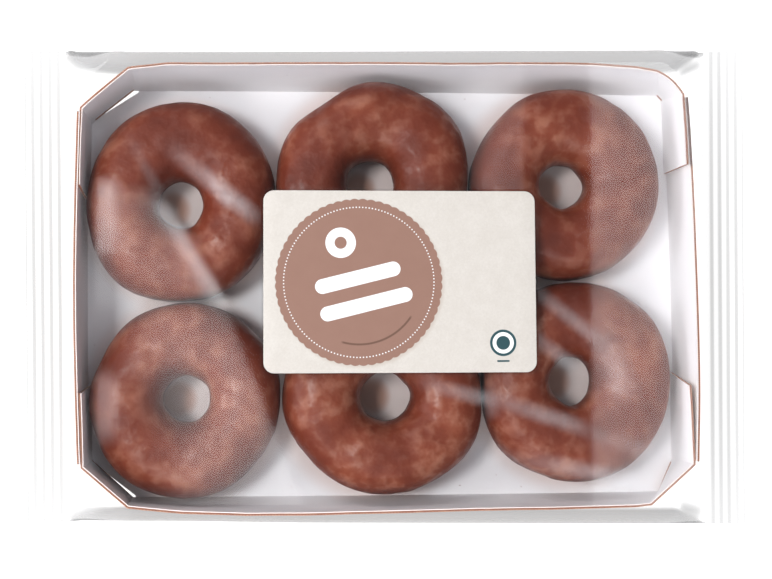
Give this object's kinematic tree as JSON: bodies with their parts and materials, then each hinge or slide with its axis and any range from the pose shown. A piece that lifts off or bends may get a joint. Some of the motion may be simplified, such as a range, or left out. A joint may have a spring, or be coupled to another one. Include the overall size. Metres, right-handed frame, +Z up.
{
  "type": "box of doughnuts",
  "caption": "Shallow board tray with clipped corners that holds cocoa-glazed ring doughnuts, sealed in a clear crimped film wrap under a cream paper label.",
  "frame": {"origin": "on the ground under the middle of the pack: bottom centre of its bounding box", "axes": "+Z up, X along the pack's length from one crimped end to the other, Y across it, +Y being the far side when the pack is read with its label upright"},
  "size_m": [0.326, 0.2152, 0.0436],
  "materials": {
    "clear_film": "clear glossy plastic film, milky where it is crimped",
    "white_board": "white-lined corrugated board with brown fluted cut edges",
    "cocoa_glaze": "semi-gloss cocoa glaze with soft mottling",
    "cream_paper": "uncoated cream label paper"
  },
  "bodies": {
    "root": {"film_wrap": "clear_film", "tray": "white_board", "doughnut_1": "cocoa_glaze", "doughnut_2": "cocoa_glaze", "doughnut_3": "cocoa_glaze", "doughnut_4": "cocoa_glaze", "doughnut_5": "cocoa_glaze", "doughnut_6": "cocoa_glaze", "label": "cream_paper"}
  },
  "joints": []
}
